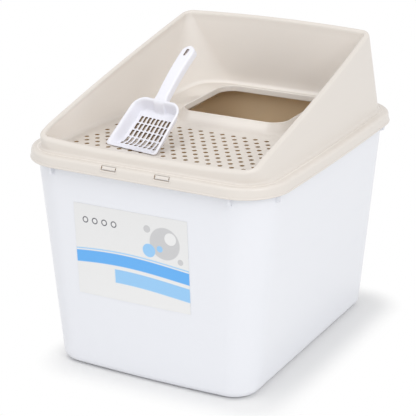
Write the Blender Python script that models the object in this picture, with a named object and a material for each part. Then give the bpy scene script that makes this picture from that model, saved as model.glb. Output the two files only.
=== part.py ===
"""Top entry litter box: a deep tub, a one-piece lid with a slanted splash wall, a scoop and a sticker.

Metres, +Z up. The origin is on the floor under the middle of the lid, the low front wall faces -Y.
Every outline is a closed loop of the same number of points, so a moulding is a loft through its loops.
"""
import bmesh
import bpy
import numpy as np
from mathutils import Matrix

# Driving dimensions of the lid, outside
lid_width = 0.410
lid_depth = 0.475
lid_corner = 0.067
lid_side_bow = 0.0050
lid_wall = 0.0025
shoulder_height = 0.3325
shoulder_round = 0.0050
skirt_height = 0.0166
skirt_bead = 0.0009
bead_height = 0.0028

# Splash wall: its foot on the shoulder, set in from the edge of the lid
foot_side_inset = 0.0200
foot_end_inset = 0.0190
foot_width = lid_width - 2 * foot_side_inset
foot_depth = lid_depth - 2 * foot_end_inset
foot_corner = 0.040
foot_fillet = 0.0040

# Slanted rim of the splash wall, set in from the foot and raised over the shoulder
rim_front_side_inset = 0.0080
rim_rear_side_inset = 0.0211
rim_front_inset = 0.0010
rim_rear_inset = 0.0135
rim_corner = 0.0165
rim_side_bow = 0.0051
rim_rear_bow = 0.0085
rim_front_rise = 0.0135
rim_rear_rise = 0.1205
rim_step = 0.0105
rim_step_run = 0.0200
rim_round = 0.0043

# Deck inside the splash wall: it narrows to the rear, and rises to a ledge behind the opening
deck_drop = 0.0131
deck_side_inset = 0.0010
deck_front_inset = 0.0100
deck_rear_inset = 0.0060
deck_height = shoulder_height - deck_drop
deck_half_width = foot_width / 2 - deck_side_inset
deck_front = foot_depth / 2 - deck_front_inset
deck_rear = foot_depth / 2 - deck_rear_inset
deck_corner = 0.028
deck_rear_corner = 0.085
deck_narrowing = 0.033
narrowing_set_back = 0.1385
narrowing_start = narrowing_set_back - deck_front
deck_fillet = 0.0060

# Hollow between the two skins of the splash wall, open from below
hollow_set_back = 0.1185
hollow_run = 0.1500
hollow_start = hollow_set_back - deck_front
hollow_end = hollow_start + hollow_run
hollow_drop = 0.016
hollow_least = 0.0008

# Entry opening and the collar around it, and the ledge behind it
opening_half_width = 0.0890
opening_length = 0.1550
opening_rear_inset = 0.0135
opening_rear = deck_rear - opening_rear_inset
opening_front = opening_rear - opening_length
opening_corner = 0.026
collar_rise = 0.0166
collar_height = deck_height + collar_rise
collar_wall = 0.0024
collar_lean = 0.0100
flange_depth = 0.0095
ledge_run = 0.0660
ledge_inset = 0.0030
ledge_end = opening_rear - ledge_inset
ledge_start = ledge_end - ledge_run
ledge_step = 0.0010

# Drain holes in the front of the deck, in staggered rows
hole_diameter = 0.0074
hole_pitch = 0.0187
row_pitch = 0.0144
first_row_gap = 0.0400
first_row = opening_front - first_row_gap
hole_margin = 0.0070
hole_sides = 6

# Snap hooks of the lid, cut free from the front of the skirt by a slot on three sides
hook_offset = 0.0430
hook_width = 0.0200
hook_height = 0.0060
hook_slot = 0.0020
hook_top_drop = 0.0022

# Tub, whose rim lies inside the skirt of the lid
tub_rim_inset = 0.0111
tub_top_width = lid_width - 2 * tub_rim_inset
tub_top_depth = lid_depth - 2 * tub_rim_inset
tub_top_corner = 0.055
tub_side_taper = 0.0313
tub_end_taper = 0.0153
tub_base_width = tub_top_width - 2 * tub_side_taper
tub_base_depth = tub_top_depth - 2 * tub_end_taper
tub_base_corner = 0.037
tub_base_round = 0.0136
tub_base_bow = 0.0050
tub_side_bow = 0.0040
tub_wall = 0.0026
flange_thickness = 0.0030
flange_chamfer = 0.0025
skirt_clearance = 0.0012
rib_side_inset = 0.0495
rib_end_inset = 0.0454
rib_front_offset = tub_top_width / 2 - rib_side_inset
rib_side_offset = tub_top_depth / 2 - rib_end_inset
rib_height = 0.0230
rib_thickness = 0.0028
rib_inset = 0.0012

# Scoop, in its own frame: length along +Y from the lip, width along X, rim plane at Z = 0
scoop_width = 0.0950
scoop_taper = 0.0040
blade_length = 0.0920
blade_corner = 0.0200
blade_depth = 0.0165
blade_wall = 0.0015
lip_corner = 0.0055
lip_length = 0.0280
wall_run = 0.0085
scoop_length = 0.1930
handle_width = 0.0200
handle_end_width = 0.0230
handle_depth = 0.0110
handle_wall = 0.0022
handle_lift = 0.0160
handle_drop = 0.0130
handle_overlap = 0.0016
handle_root = 0.0030
hang_length = 0.0130
hang_width = 0.0048
hang_inset = 0.0065
slot_columns = 8
slot_rows = 4
slot_length = 0.0108
slot_width = 0.0046
slot_row_pitch = 0.0131
slot_column_pitch = 0.0074
first_slot_row = 0.0232
slot_spread = 0.0012
short_slot_length = 0.0042
short_slot_row = 0.0145

# Where the scoop stands: the front of its blade on the deck, its handle raised
scoop_set_back = 0.0832
scoop_x = -0.0748
scoop_y = scoop_set_back - deck_front
scoop_turn_degrees = -8.4
scoop_tilt_degrees = 38.9

# Sticker on the front of the tub
label_width = 0.187
label_height = 0.140
label_centre_x = -0.0194
label_centre_z = 0.1935
label_turn_degrees = 1.7
label_thickness = 0.0004

# Clearances and overruns
seat_gap = 0.0003
overrun = 0.0040

# Points on a loop: steps along each straight side and around each corner
side_steps = 6
corner_steps = 6
round_steps = 3


def outline(half_width, front, rear, corner, side_bow=0.0, front_bow=0.0, rear_bow=0.0, rear_corner=None):
    """Rounded rectangle from y = -front to y = rear as an (n, 2) loop, counter-clockwise from above."""
    back = corner if rear_corner is None else rear_corner
    side = np.arange(1, side_steps) / side_steps
    turn = np.linspace(0.0, np.pi / 2, corner_steps + 1)
    radii = np.array([corner, back, back, corner])
    centres = np.array([[half_width - corner, corner - front], [half_width - back, rear - back],
                        [back - half_width, rear - back], [corner - half_width, corner - front]])
    loop = []
    for index in range(len(centres)):
        start = turn[0] + (index - 1) * np.pi / 2
        offset = np.array([np.cos(start), np.sin(start)])
        run_start = centres[index - 1] + radii[index - 1] * offset
        run_end = centres[index] + radii[index] * offset
        loop.append(run_start + side[:, None] * (run_end - run_start))
        angle = start + turn
        loop.append(centres[index] + radii[index] * np.stack([np.cos(angle), np.sin(angle)], axis=1))
    points = np.concatenate(loop)
    across = points[:, 0] / half_width
    along = np.where(points[:, 1] < 0, points[:, 1] / front, points[:, 1] / rear)
    end_bow = np.where(along < 0, front_bow, rear_bow)
    bowed_x = points[:, 0] + side_bow * across * (1 - along ** 2)
    bowed_y = points[:, 1] + end_bow * along * (1 - across ** 2)
    return np.stack([bowed_x, bowed_y], axis=1)


def at_height(loop, height):
    """Give a flat loop its height, one value or one for each point."""
    return np.column_stack([loop, np.broadcast_to(height, len(loop))])


def ramp(value, start, end):
    """Smooth step from 0 at start to 1 at end."""
    share = np.clip((value - start) / (end - start), 0.0, 1.0)
    return share * share * (3 - 2 * share)


def material(name, colour, roughness):
    """Moulded plastic or paper as one Principled material."""
    made = bpy.data.materials.new(name)
    made.use_nodes = True
    shader = made.node_tree.nodes["Principled BSDF"]
    shader.inputs["Base Color"].default_value = (*colour, 1.0)
    shader.inputs["Roughness"].default_value = roughness
    shader.inputs["Metallic"].default_value = 0.0
    return made


def add_object(name, mesh_data, look):
    """Link a mesh made in bmesh as a named object, shaded smooth up to sharp edges."""
    mesh = bpy.data.meshes.new(name)
    mesh_data.to_mesh(mesh)
    mesh_data.free()
    mesh.shade_smooth()
    mesh.set_sharp_from_angle(angle=np.radians(35.0))
    mesh.materials.append(look)
    made = bpy.data.objects.new(name, mesh)
    bpy.context.scene.collection.objects.link(made)
    return made


def loft(loops, closed=False):
    """Skin a row of loops with quads; the ends are capped, or joined when the row is closed."""
    body = bmesh.new()
    rows = [[body.verts.new(point) for point in loop] for loop in loops]
    count = len(rows[0])
    pairs = list(zip(rows, rows[1:]))
    if closed:
        pairs.append((rows[-1], rows[0]))
    for lower, upper in pairs:
        for index in range(count):
            after = (index + 1) % count
            body.faces.new((lower[index], lower[after], upper[after], upper[index]))
    if not closed:
        body.faces.new(list(reversed(rows[0])))
        body.faces.new(rows[-1])
    return body


def boolean(target, cutter, operation):
    """Apply one exact Boolean and delete the second object."""
    step = target.modifiers.new(operation.lower(), "BOOLEAN")
    step.operation = operation
    step.solver = "EXACT"
    step.object = cutter
    graph = bpy.context.evaluated_depsgraph_get()
    result = bpy.data.meshes.new_from_object(target.evaluated_get(graph))
    target.modifiers.clear()
    target.data = result
    bpy.data.objects.remove(cutter, do_unlink=True)


# Outlines that several pieces share
skirt_bottom = shoulder_height - skirt_height
tub_rim_height = shoulder_height - lid_wall - seat_gap
lid_half = lid_width / 2
lid_end = lid_depth / 2


def lid_loop(inset):
    """Outside of the lid's skirt, moved inwards."""
    return outline(lid_half - inset, lid_end - inset, lid_end - inset, lid_corner - inset, lid_side_bow)


rim_front = foot_depth / 2 - rim_front_inset
rim_rear = foot_depth / 2 - rim_rear_inset


def rim_height(y):
    """Straight slant from front to rear; the front of the rim lies one step lower."""
    front_height = shoulder_height + rim_front_rise + rim_step
    rear_height = shoulder_height + rim_rear_rise
    slant = front_height + (rear_height - front_height) * (y + rim_front) / (rim_rear + rim_front)
    step_start = 2 * rim_round - rim_front
    return slant - rim_step * (1 - ramp(y, step_start, step_start + rim_step_run))


def rim_loop(inset):
    """Outline of the rim seen from above, narrower at the rear, moved inwards."""
    front_half = foot_width / 2 - rim_front_side_inset - inset
    rear_half = foot_width / 2 - rim_rear_side_inset - inset
    loop = outline(front_half, rim_front - inset, rim_rear - inset, rim_corner - inset,
                   rim_side_bow, rear_bow=rim_rear_bow)
    share = (loop[:, 1] + rim_front) / (rim_rear + rim_front)
    scale = 1 + share * (rear_half / front_half - 1)
    return np.stack([loop[:, 0] * scale, loop[:, 1]], axis=1)


def splash_loop(inset, height=None, drop=0.0):
    """Loop on the leaning skin from foot to rim, at a height or at a drop below the rim."""
    foot = outline(foot_width / 2 - inset, foot_depth / 2 - inset, foot_depth / 2 - inset,
                   foot_corner - inset, lid_side_bow)
    rim = rim_loop(inset)
    top = rim_height(rim[:, 1])
    wanted = top - drop if height is None else np.broadcast_to(height, len(foot))
    share = (wanted - shoulder_height) / (top - shoulder_height)
    return at_height(foot + share[:, None] * (rim - foot), wanted)


def narrowed(loop):
    """The deck keeps its width at the front and narrows evenly towards the rear."""
    share = np.clip((loop[:, 1] - narrowing_start) / (deck_rear - narrowing_start), 0.0, None)
    scale = 1 - share * deck_narrowing / deck_half_width
    return np.stack([loop[:, 0] * scale, loop[:, 1]], axis=1)


def deck_loop(inset):
    """Edge of the deck, moved inwards."""
    return narrowed(outline(deck_half_width - inset, deck_front - inset, deck_rear - inset,
                            deck_corner - inset, lid_side_bow / 2, rear_corner=deck_rear_corner - inset))


def deck_level(y):
    """Flat at the front, rising beside the opening to the ledge behind it."""
    ledge = collar_height - ledge_step
    return deck_height + (ledge - deck_height) * ramp(y, ledge_start, ledge_end)


def collar_loop(outset, height):
    """Loop around the entry opening."""
    middle = (opening_front + opening_rear) / 2
    reach = (opening_rear - opening_front) / 2 + outset
    loop = outline(opening_half_width + outset, reach, reach, opening_corner + outset)
    return at_height(loop + np.array([0.0, middle]), height)


def collar_skin(under):
    """Leaning outer face of the collar from its foot on the deck to its top."""
    foot = collar_loop(collar_wall + collar_lean, collar_height)
    top = collar_loop(collar_wall, collar_height)
    level = deck_level(foot[:, 1])
    share = ((collar_height - level) / (collar_height - deck_height))[:, None]
    seated = top + share * (foot - top)
    seated[:, 2] = level - under
    return seated


def build_lid(look):
    """One moulding: skirt, shoulder, double-skinned splash wall, deck, collar and its flange."""
    wall = lid_wall
    draft = skirt_bead
    quarter = np.linspace(0.0, np.pi / 2, round_steps + 1)
    half_turn = np.linspace(0.0, np.pi, 2 * round_steps + 1)
    loops = [at_height(lid_loop(skirt_bead), skirt_bottom),
             at_height(lid_loop(0.0), skirt_bottom + bead_height / 4),
             at_height(lid_loop(0.0), skirt_bottom + bead_height * 3 / 4),
             at_height(lid_loop(skirt_bead), skirt_bottom + bead_height)]
    # Rounded edge of the shoulder
    for angle in quarter:
        inset = skirt_bead + draft + shoulder_round * (1 - np.cos(angle))
        loops.append(at_height(lid_loop(inset), shoulder_height - shoulder_round * (1 - np.sin(angle))))
    # Foot of the splash wall, outer skin, folded rim
    loops.append(splash_loop(-foot_fillet, height=shoulder_height))
    loops.append(splash_loop(0.0, height=shoulder_height + foot_fillet))
    for angle in half_turn:
        loops.append(splash_loop(rim_round * (1 - np.cos(angle)), drop=rim_round * (1 - np.sin(angle))))
    # Inner skin down to the deck
    rim_inside = loops[-1]
    for angle in quarter[::-1]:
        inset = deck_fillet * (1 - np.sin(angle))
        lift = deck_fillet * (1 - np.cos(angle))
        edge = deck_loop(inset)
        loops.append(at_height(edge, deck_level(edge[:, 1]) + lift))
    # Collar and the flange inside the opening
    loops.append(collar_skin(0.0))
    loops.append(collar_loop(collar_wall, collar_height - collar_wall / 4))
    loops.append(collar_loop(collar_wall * 3 / 4, collar_height))
    loops.append(collar_loop(collar_wall / 4, collar_height))
    loops.append(collar_loop(0.0, collar_height - collar_wall / 4))
    loops.append(collar_loop(0.0, collar_height - flange_depth))
    # Underside, from the flange outwards
    loops.append(collar_loop(collar_wall, collar_height - flange_depth))
    under = collar_skin(wall)
    under[:, :2] = collar_skin(0.0)[:, :2]
    inner_top = collar_loop(collar_wall, 0.0)
    inner_top[:, 2] = np.maximum(under[:, 2], collar_height - flange_depth + hollow_least)
    loops.append(inner_top)
    loops.append(under)
    edge = deck_loop(0.0)
    loops.append(at_height(edge, deck_level(edge[:, 1]) - wall))
    tray = deck_loop(-wall)
    loops.append(at_height(tray, deck_level(tray[:, 1])))
    # Hollow between the skins, closed at its top
    roof_under = shoulder_height - wall
    apex = roof_under + (rim_height(tray[:, 1]) - hollow_drop - roof_under) * ramp(
        tray[:, 1], hollow_start, hollow_end)
    inner_share = ((apex - deck_height) / (rim_inside[:, 2] - deck_height))[:, None]
    rim_back = splash_loop(2 * rim_round - wall, drop=rim_round)
    inner_back = tray + inner_share * (rim_back[:, :2] - tray)
    outer_back = splash_loop(wall, height=apex)
    inwards = inner_back - outer_back[:, :2]
    span = np.linalg.norm(inwards, axis=1)
    inner_back = outer_back[:, :2] + inwards * np.maximum(1.0, hollow_least / span)[:, None]
    loops.append(at_height(inner_back, apex))
    loops.append(outer_back)
    loops.append(splash_loop(wall, height=roof_under + hollow_least / 2))
    loops.append(at_height(splash_loop(wall - hollow_least, height=roof_under)[:, :2], roof_under))
    # Underside of the shoulder and inside of the skirt
    skirt_inset = skirt_bead + draft + wall
    loops.append(at_height(lid_loop(skirt_inset + shoulder_round / 2), roof_under))
    loops.append(at_height(lid_loop(skirt_inset), roof_under - shoulder_round / 2))
    loops.append(at_height(lid_loop(skirt_bead + wall - draft), skirt_bottom))
    lid = add_object("lid", loft(loops, closed=True), look)
    boolean(lid, hole_cutter(), "DIFFERENCE")
    for side in (-1, 1):
        for cutter in hook_cutters(side * hook_offset):
            boolean(lid, cutter, "DIFFERENCE")
    return lid


def hole_centres():
    """Staggered rows of drain holes, from the front of the collar to the front edge of the deck."""
    edge = hole_margin + hole_diameter / 2
    rows = int((deck_front - edge + first_row) / row_pitch) + 1
    centres = []
    for row in range(rows):
        y = first_row - row * row_pitch
        room = deck_half_width - edge
        offset = hole_pitch / 2 if row % 2 == 0 else 0.0
        reach = int((room - offset) / hole_pitch)
        for column in range(-reach, reach + 1):
            centres.append((offset + column * hole_pitch, y))
        if offset:
            centres.append((-offset - reach * hole_pitch, y))
    return centres


def hole_cutter():
    """All drain holes as one object of separate prisms."""
    body = bmesh.new()
    height = lid_wall + 2 * overrun
    for x, y in hole_centres():
        place = Matrix.Translation((x, y, deck_height - lid_wall / 2))
        bmesh.ops.create_cone(body, cap_ends=True, segments=hole_sides, radius1=hole_diameter / 2,
                              radius2=hole_diameter / 2, depth=height, matrix=place)
    return cutter_object("drain_holes", body)


def hook_cutters(x):
    """Two upright slots beside a snap hook and one below it, through the front of the skirt."""
    depth = 2 * (lid_wall + 2 * skirt_bead)
    y = -lid_end
    top = shoulder_height - hook_top_drop
    leg = hook_height + hook_slot
    step = (hook_width + hook_slot) / 2
    upright = (hook_slot, depth, leg)
    level = (hook_width + 2 * hook_slot, depth, hook_slot)
    return [box("hook_slot", (x - step, y, top - leg / 2), upright),
            box("hook_slot", (x + step, y, top - leg / 2), upright),
            box("hook_slot", (x, y, top - leg + hook_slot / 2), level)]


def tub_loop(share, inset):
    """Loop on the tapered tub, from the base at 0 to the rim at 1, moved inwards."""
    base = outline(tub_base_width / 2 - inset, tub_base_depth / 2 - inset, tub_base_depth / 2 - inset,
                   max(tub_base_corner - inset, tub_wall), 0.0, tub_base_bow, tub_base_bow)
    top = outline(tub_top_width / 2 - inset, tub_top_depth / 2 - inset, tub_top_depth / 2 - inset,
                  tub_top_corner - inset, tub_side_bow)
    return base + share * (top - base)


def build_tub(look):
    """Deep tapered tub with a rounded base, an outward rim flange and small gussets below it."""
    rim = tub_rim_height
    flange_inset = skirt_bead * 2 + lid_wall + skirt_clearance
    flange_low = rim - flange_thickness
    quarter = np.linspace(0.0, np.pi / 2, round_steps + 2)
    loops = []
    for angle in quarter:
        height = tub_base_round * (1 - np.cos(angle))
        loops.append(at_height(tub_loop(height / rim, tub_base_round * (1 - np.sin(angle))), height))
    loops.append(at_height(tub_loop(flange_low / rim, 0.0), flange_low))
    loops.append(at_height(lid_loop(flange_inset), flange_low))
    loops.append(at_height(lid_loop(flange_inset), rim - flange_chamfer))
    loops.append(at_height(lid_loop(flange_inset + flange_chamfer), rim))
    loops.append(at_height(tub_loop(1.0, tub_wall), rim))
    inner_round = tub_base_round - tub_wall
    for angle in quarter[::-1]:
        height = tub_wall + inner_round * (1 - np.cos(angle))
        inset = tub_wall + inner_round * (1 - np.sin(angle))
        loops.append(at_height(tub_loop(height / rim, inset), height))
    tub = add_object("tub", loft(loops), look)
    for place in gusset_places():
        boolean(tub, build_gusset(place, look), "UNION")
    return tub


def gusset_places():
    """Two gussets beside each corner: one under the end, one under the side."""
    places = []
    for side_x in (-1, 1):
        for side_y in (-1, 1):
            places.append((side_x * rib_front_offset, side_y * tub_top_depth / 2, 0.0, side_y))
            places.append((side_x * tub_top_width / 2, side_y * rib_side_offset, side_x, 0.0))
    return places


def build_gusset(place, look):
    """Triangle that fills the corner between the wall and the rim flange."""
    x, y, out_x, out_y = place
    out = np.array([out_x, out_y, 0.0])
    side = np.array([out_y, -out_x, 0.0]) * rib_thickness / 2
    top = tub_rim_height - flange_thickness / 2
    reach = (lid_depth - tub_top_depth) / 2 - skirt_bead * 2 - lid_wall - skirt_clearance - rib_inset
    wall_point = np.array([x, y, 0.0])
    profile = [wall_point - out * tub_wall / 2 + [0.0, 0.0, top],
               wall_point + out * reach + [0.0, 0.0, top],
               wall_point + out * reach + [0.0, 0.0, top - flange_thickness],
               wall_point - out * tub_wall * 3 / 4 + [0.0, 0.0, top - rib_height]]
    body = bmesh.new()
    near = [body.verts.new(point - side) for point in profile]
    far = [body.verts.new(point + side) for point in profile]
    body.faces.new(near)
    body.faces.new(list(reversed(far)))
    for index in range(len(profile)):
        after = (index + 1) % len(profile)
        body.faces.new((near[after], near[index], far[index], far[after]))
    bmesh.ops.recalc_face_normals(body, faces=body.faces)
    return add_object("gusset", body, look)


def blade_half_width(y):
    """Half width of the scoop's blade, drawn in by its rounded corners at the rear and at the lip."""
    straight = scoop_width / 2 - scoop_taper * y / blade_length
    into = np.clip(y - (blade_length - blade_corner), 0.0, blade_corner)
    ahead = np.clip(lip_corner - y, 0.0, lip_corner)
    rear_cut = blade_corner - np.sqrt(np.maximum(blade_corner ** 2 - into ** 2, 0.0))
    lip_cut = lip_corner - np.sqrt(np.maximum(lip_corner ** 2 - ahead ** 2, 0.0))
    return straight - rear_cut - lip_cut


def blade_floor(x, y):
    """Depth below the rim: the floor falls behind the lip and rises at the side and rear walls."""
    fall = blade_depth * np.sin(np.pi / 2 * np.clip(y / lip_length, 0.0, 1.0))
    edge = np.minimum(blade_half_width(y) - np.abs(x), blade_length - y)
    return fall * ramp(edge, 0.0, wall_run)


def build_blade(look):
    """Dish of even thickness whose grid follows the rounded outline."""
    near_share = np.array([0.0, 0.1, 0.22, 0.38])
    across_share = np.concatenate([near_share, [0.65, 1.0, 1.35], 2 - near_share[::-1]]) - 1
    along = np.concatenate([lip_corner * (1 - np.cos(np.linspace(0.0, np.pi / 2, 4)))[:-1],
                            np.linspace(lip_corner, lip_length, 5)[:-1],
                            np.linspace(lip_length, blade_length - blade_corner, 5)[:-1],
                            blade_length - blade_corner * np.cos(np.linspace(0.0, np.pi / 2, 8))])
    y = np.repeat(along[:, None], len(across_share), axis=1)
    x = blade_half_width(y) * across_share[None, :]
    depth = blade_floor(x, y)
    top = np.stack([x, y, -depth], axis=2)
    under = top - np.array([0.0, 0.0, blade_wall])
    body = bmesh.new()
    upper = [[body.verts.new(point) for point in row] for row in top]
    lower = [[body.verts.new(point) for point in row] for row in under]
    rows, columns = len(upper), len(upper[0])
    for row in range(rows - 1):
        for column in range(columns - 1):
            body.faces.new((upper[row][column], upper[row][column + 1],
                            upper[row + 1][column + 1], upper[row + 1][column]))
            body.faces.new((lower[row][column], lower[row + 1][column],
                            lower[row + 1][column + 1], lower[row][column + 1]))
    border = [(0, column) for column in range(columns)]
    border += [(row, columns - 1) for row in range(1, rows)]
    border += [(rows - 1, column) for column in range(columns - 2, -1, -1)]
    border += [(row, 0) for row in range(rows - 2, 0, -1)]
    for (row, column), (next_row, next_column) in zip(border, border[1:] + border[:1]):
        body.faces.new((upper[next_row][next_column], upper[row][column],
                        lower[row][column], lower[next_row][next_column]))
    return add_object("scoop", body, look)


def handle_section(y, half_width, low, high):
    """Rounded box section across the handle, as a loop of points."""
    radius = min(half_width, handle_wall) / 2
    corners = [(half_width, low), (half_width, high - radius), (half_width - radius, high),
               (radius - half_width, high), (-half_width, high - radius), (-half_width, low)]
    return np.array([(x, y, z) for x, z in corners])


def build_handle(look, inset):
    """Handle as a loft along its gentle bend; the inset one is the hollow under it."""
    end_round = handle_end_width / 2 - inset
    joined = blade_length - handle_overlap
    start = blade_length + handle_root if inset else joined
    tip = scoop_length - inset
    straight = np.linspace(start, tip - end_round, 6)
    rounded = tip - end_round + end_round * np.sin(np.linspace(0.0, np.pi / 2, 7))[1:-1]
    sections = []
    for y in np.concatenate([straight, rounded, [tip - end_round / 60]]):
        share = (y - joined) / (scoop_length - joined)
        half = (handle_width + share * (handle_end_width - handle_width)) / 2 - inset
        into = max(0.0, y - (tip - end_round))
        half = half * np.sqrt(max(1 - (into / end_round) ** 2, 0.0))
        rise = handle_lift * share - handle_drop * share ** 2
        low = rise - handle_depth - (overrun if inset else 0.0)
        sections.append(handle_section(y, half, low, rise - inset))
    body = loft(sections)
    bmesh.ops.recalc_face_normals(body, faces=body.faces)
    return add_object("handle", body, look)


def cutter_object(name, body):
    """Link a bare mesh that only serves a Boolean."""
    mesh = bpy.data.meshes.new(name)
    body.to_mesh(mesh)
    body.free()
    made = bpy.data.objects.new(name, mesh)
    bpy.context.scene.collection.objects.link(made)
    return made


def box(name, centre, size, turn=0.0):
    """Cutter block, turned about Z."""
    body = bmesh.new()
    bmesh.ops.create_cube(body, size=1.0)
    place = Matrix.Translation(centre) @ Matrix.Rotation(turn, 4, "Z") @ Matrix.Diagonal((*size, 1.0))
    bmesh.ops.transform(body, matrix=place, verts=body.verts)
    return cutter_object(name, body)


def build_scoop(look):
    """Slotted blade and hollow handle joined, then stood on the deck on its lip."""
    scoop = build_blade(look)
    handle = build_handle(look, 0.0)
    boolean(handle, build_handle(look, handle_wall), "DIFFERENCE")
    boolean(scoop, handle, "UNION")
    cutter_height = 2 * (blade_depth + overrun)
    for row in range(slot_rows + 1):
        short = row == 0
        length = short_slot_length if short else slot_length
        y = short_slot_row if short else first_slot_row + (row - 1) * slot_row_pitch
        pitch = slot_column_pitch + slot_spread * (slot_rows - row) / slot_rows
        for column in range(slot_columns):
            x = (column - (slot_columns - 1) / 2) * pitch
            cutter = box("slot", (x, y, -blade_depth), (slot_width, length, cutter_height))
            boolean(scoop, cutter, "DIFFERENCE")
    hang_y = scoop_length - hang_inset - hang_length / 2
    hole = box("hang_slot", (0.0, hang_y, 0.0), (hang_width, hang_length, 2 * handle_depth))
    boolean(scoop, hole, "DIFFERENCE")
    turn = Matrix.Rotation(np.radians(scoop_turn_degrees), 4, "Z")
    tilt = Matrix.Rotation(np.radians(scoop_tilt_degrees), 4, "X")
    lowest = min((turn @ tilt @ vertex.co).z for vertex in scoop.data.vertices)
    stand = Matrix.Translation((scoop_x, scoop_y, deck_height + seat_gap - lowest))
    scoop.matrix_world = stand @ turn @ tilt
    return scoop


def front_wall(x, z):
    """Y of the tub's front wall at a place, from the loops that it is lofted through."""
    share = z / tub_rim_height
    half_base = tub_base_width / 2
    half_top = tub_top_width / 2
    across = x / (half_base + share * (half_top - half_base))
    base_y = tub_base_depth / 2 + tub_base_bow * (1 - across ** 2)
    top_y = tub_top_depth / 2
    return -(base_y + share * (top_y - base_y))


def build_label(look):
    """Thin sticker that follows the front wall."""
    columns, rows = 9, 4
    turn = np.radians(label_turn_degrees)
    across = np.linspace(-label_width / 2, label_width / 2, columns)
    up = np.linspace(-label_height / 2, label_height / 2, rows)
    local_x, local_z = np.meshgrid(across, up)
    x = label_centre_x + local_x * np.cos(turn) - local_z * np.sin(turn)
    z = label_centre_z + local_x * np.sin(turn) + local_z * np.cos(turn)
    back = np.stack([x, front_wall(x, z) - seat_gap, z], axis=2)
    front = back - np.array([0.0, label_thickness, 0.0])
    body = bmesh.new()
    inner = [[body.verts.new(point) for point in row] for row in back]
    outer = [[body.verts.new(point) for point in row] for row in front]
    for row in range(rows - 1):
        for column in range(columns - 1):
            body.faces.new((outer[row][column], outer[row][column + 1],
                            outer[row + 1][column + 1], outer[row + 1][column]))
            body.faces.new((inner[row][column], inner[row + 1][column],
                            inner[row + 1][column + 1], inner[row][column + 1]))
    border = [(0, column) for column in range(columns)]
    border += [(row, columns - 1) for row in range(1, rows)]
    border += [(rows - 1, column) for column in range(columns - 2, -1, -1)]
    border += [(row, 0) for row in range(rows - 2, 0, -1)]
    for (row, column), (next_row, next_column) in zip(border, border[1:] + border[:1]):
        body.faces.new((outer[next_row][next_column], outer[row][column],
                        inner[row][column], inner[next_row][next_column]))
    return add_object("label", body, look)


def main():
    for item in list(bpy.data.objects):
        bpy.data.objects.remove(item, do_unlink=True)
    white = material("white_plastic", (0.83, 0.85, 0.89), 0.35)
    beige = material("beige_plastic", (0.73, 0.65, 0.56), 0.42)
    scoop_white = material("scoop_plastic", (0.86, 0.86, 0.93), 0.32)
    paper = material("label_paper", (0.80, 0.82, 0.84), 0.5)
    build_tub(white)
    build_lid(beige)
    build_scoop(scoop_white)
    build_label(paper)


main()
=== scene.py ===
# %% [markdown]
# # A top entry litter box
# The object is a deep white tub, a beige lid with a slanted splash wall, a white scoop that stands
# on the lid, and a paper label. All of it is injection moulded plastic apart from the label, so the
# whole lesson is about smooth shells: outlines with rounded corners, stacked at many heights and
# joined by faces.

import bpy
import numpy as np
from mathutils import Matrix


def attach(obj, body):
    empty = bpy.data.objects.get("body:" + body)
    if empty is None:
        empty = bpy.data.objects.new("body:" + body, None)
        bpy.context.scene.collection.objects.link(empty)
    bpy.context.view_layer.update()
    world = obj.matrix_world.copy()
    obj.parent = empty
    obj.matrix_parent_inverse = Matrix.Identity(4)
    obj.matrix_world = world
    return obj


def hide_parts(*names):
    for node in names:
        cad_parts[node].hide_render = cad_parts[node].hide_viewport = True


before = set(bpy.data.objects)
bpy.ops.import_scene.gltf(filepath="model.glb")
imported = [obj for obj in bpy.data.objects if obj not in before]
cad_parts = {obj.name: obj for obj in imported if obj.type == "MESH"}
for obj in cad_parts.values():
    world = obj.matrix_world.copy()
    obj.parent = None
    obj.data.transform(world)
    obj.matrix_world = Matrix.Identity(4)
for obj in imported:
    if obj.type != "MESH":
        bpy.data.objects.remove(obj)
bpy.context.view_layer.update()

# %% [markdown]
# ## The camera
# The photograph was taken from the front, a little from the right and from above, with a long lens.
# A camera is a place and three directions: right, up and back. Written as the columns of a matrix,
# the directions turn the camera without any angles to guess.

# %% Camera


def add_object(name, data):
    """An object for a mesh, a lamp or a camera, linked to the scene."""
    made = bpy.data.objects.new(name, data)
    bpy.context.scene.collection.objects.link(made)
    return made


def facing(place, right, up, back):
    """Matrix of a camera or lamp: its three directions as columns, and its place."""
    return Matrix.Translation(place) @ Matrix([right, up, back]).transposed().to_4x4()


camera_place = (1.0676136, -1.9650705, 1.0358177)
camera_right = (0.8773979, 0.4796994, -0.0078415)
camera_up = (-0.1613719, 0.3104719, 0.9367851)
camera_back = (0.4518098, -0.8206678, 0.3498174)
camera_data = bpy.data.cameras.new("camera")
camera_data.lens = 134.447
camera_data.sensor_width = 36.0
camera_data.clip_end = 100.0
camera = add_object("camera", camera_data)
camera.matrix_world = facing(camera_place, camera_right, camera_up, camera_back)
bpy.context.scene.camera = camera
bpy.context.scene.view_settings.view_transform = "Standard"
print("Camera distance", round(float(np.linalg.norm(camera_place)), 3), "m, lens", camera_data.lens, "mm")

# %% [markdown]
# ## Small helpers for nodes
# Every material below is a little graph. The first helper adds a node, gives its inputs their
# values, and links an input where the value is another node's output socket. The others are the
# nodes that come back again and again: a calculation, a gradual step, a mix of two colours, and a
# shared group.

# %% Node helpers


def add_node(tree, kind, inputs=None, **settings):
    """Add a node of a kind; inputs maps a name or index to a value or to an output socket."""
    made = tree.nodes.new(kind)
    for name, value in settings.items():
        setattr(made, name, value)
    for name, value in (inputs or {}).items():
        if isinstance(value, bpy.types.NodeSocket):
            tree.links.new(value, made.inputs[name])
        else:
            made.inputs[name].default_value = value
    return made


def math_node(tree, operation, first, second=0.0, third=0.0):
    """One Math node on sockets or numbers; returns its output."""
    return add_node(tree, "ShaderNodeMath", {0: first, 1: second, 2: third}, operation=operation).outputs[0]


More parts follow.
